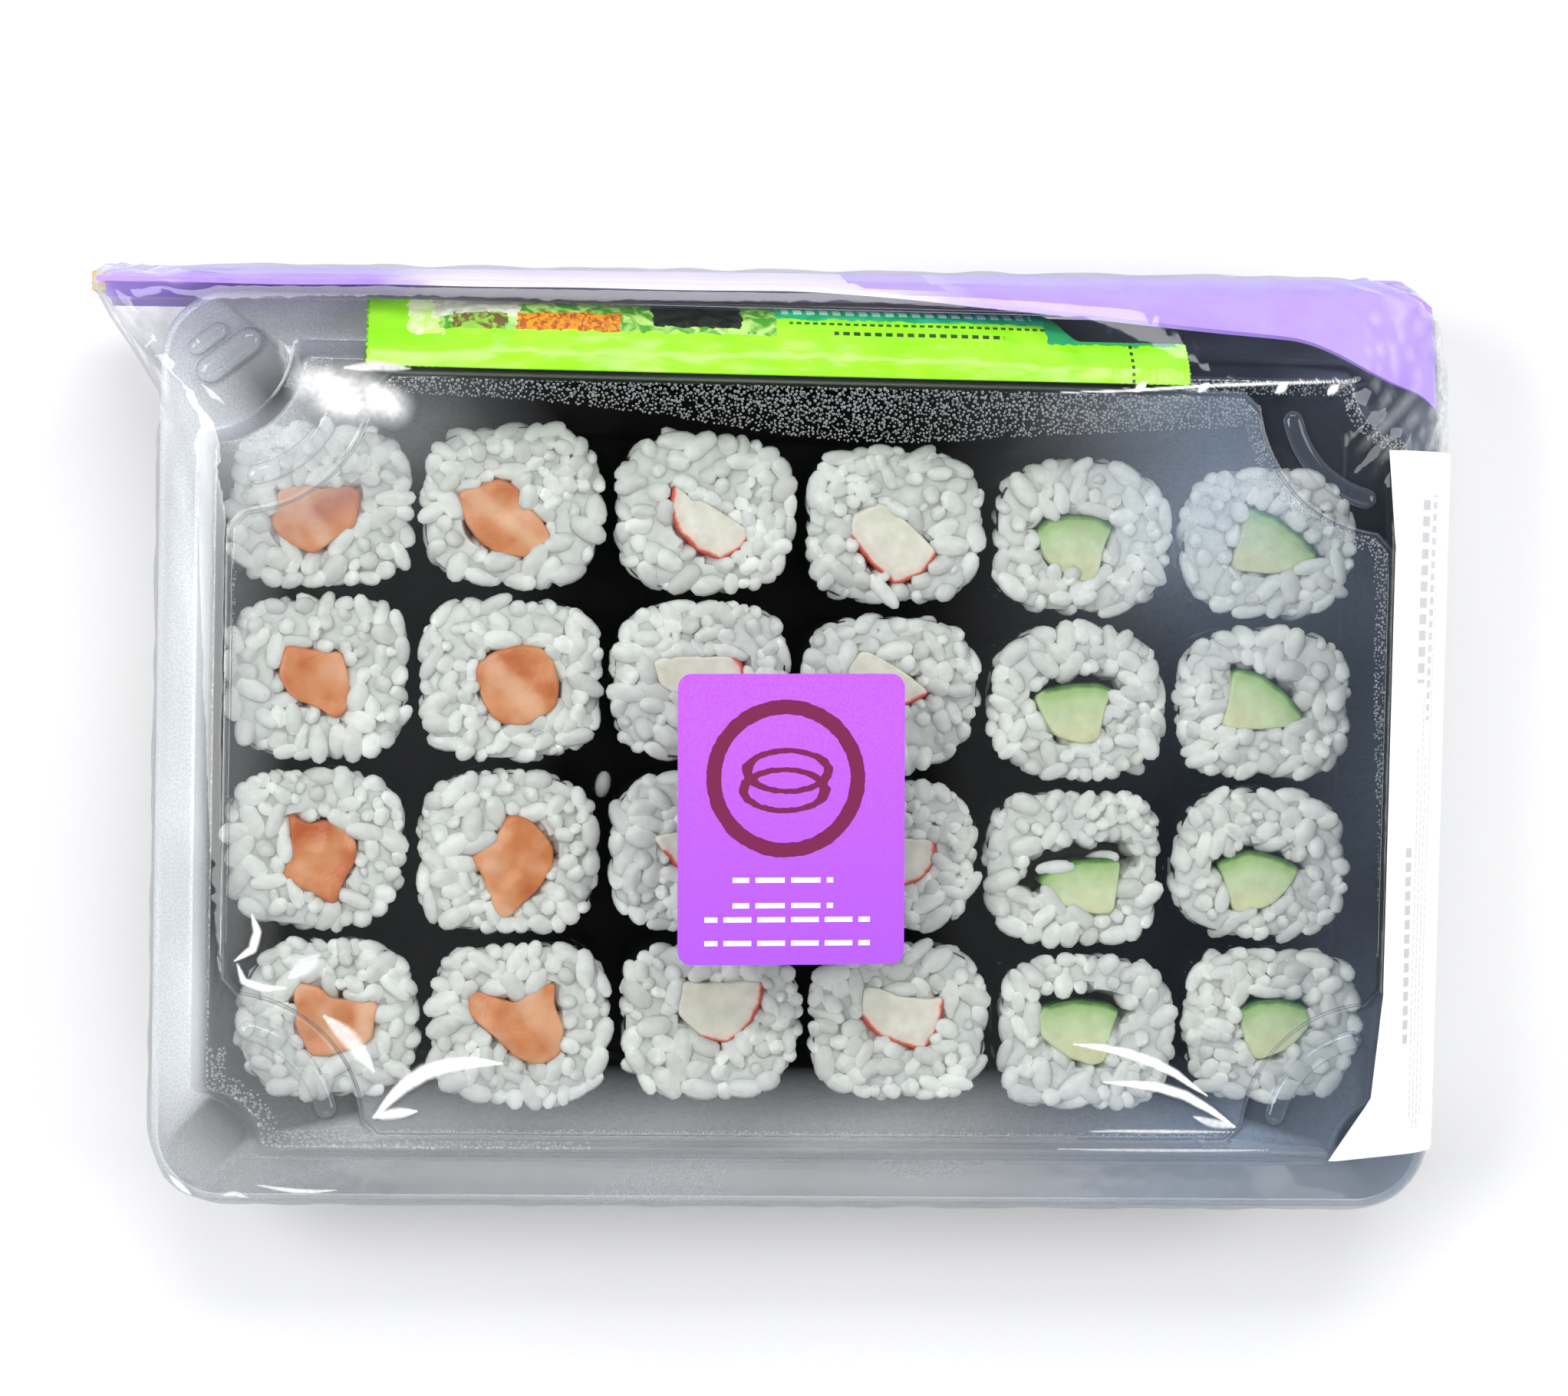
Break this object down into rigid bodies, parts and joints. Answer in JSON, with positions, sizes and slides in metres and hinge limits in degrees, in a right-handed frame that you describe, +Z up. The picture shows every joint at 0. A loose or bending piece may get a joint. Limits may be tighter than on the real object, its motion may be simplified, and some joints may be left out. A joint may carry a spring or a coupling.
{
  "type": "takeaway sushi tray",
  "caption": "Shut takeaway sushi tray: small rolls standing on end under a clear snap lid, over-wrapped in film with a soy sachet and sleeved chopsticks.",
  "frame": {"origin": "centre of the tray's flat foot, on the surface it stands on", "axes": "+X along the long side, from the chopsticks' thick end to the price label; +Y to the back edge, where the chopstick sleeve and the sachet lie; +Z up through the lid"},
  "size_m": [0.2197, 0.1523, 0.045],
  "materials": {
    "tray": "black thermoformed polystyrene, slightly glossy",
    "lid": "clear thermoformed PET with condensation inside",
    "salmon_roll": "cooked rice round salmon, wrapped in dark seaweed",
    "crabstick_roll": "cooked rice round crab stick, wrapped in dark seaweed",
    "cucumber_roll": "cooked rice round cucumber, wrapped in dark seaweed",
    "sachet": "lime green laminated sachet film with crimped ends",
    "wood": "plain sawn birch, unfinished",
    "sleeve": "violet coated paper",
    "film": "clear stretch film, tight, with small folds",
    "square_label": "violet self-adhesive label with a plain ring",
    "price_label": "white thermal label with faint grey lines"
  },
  "bodies": {
    "root": {"tray": "tray", "lid": "lid", "roll_salmon_1": "salmon_roll", "roll_salmon_2": "salmon_roll", "roll_salmon_3": "salmon_roll", "roll_salmon_4": "salmon_roll", "roll_salmon_5": "salmon_roll", "roll_salmon_6": "salmon_roll", "roll_salmon_7": "salmon_roll", "roll_salmon_8": "salmon_roll", "roll_crabstick_1": "crabstick_roll", "roll_crabstick_2": "crabstick_roll", "roll_crabstick_3": "crabstick_roll", "roll_crabstick_4": "crabstick_roll", "roll_crabstick_5": "crabstick_roll", "roll_crabstick_6": "crabstick_roll", "roll_crabstick_7": "crabstick_roll", "roll_crabstick_8": "crabstick_roll", "roll_cucumber_1": "cucumber_roll", "roll_cucumber_2": "cucumber_roll", "roll_cucumber_3": "cucumber_roll", "roll_cucumber_4": "cucumber_roll", "roll_cucumber_5": "cucumber_roll", "roll_cucumber_6": "cucumber_roll", "roll_cucumber_7": "cucumber_roll", "roll_cucumber_8": "cucumber_roll", "soy_sachet": "sachet", "chopsticks": "wood", "chopstick_sleeve": "sleeve", "wrap_film": "film", "square_label": "square_label", "price_label": "price_label"}
  },
  "joints": []
}
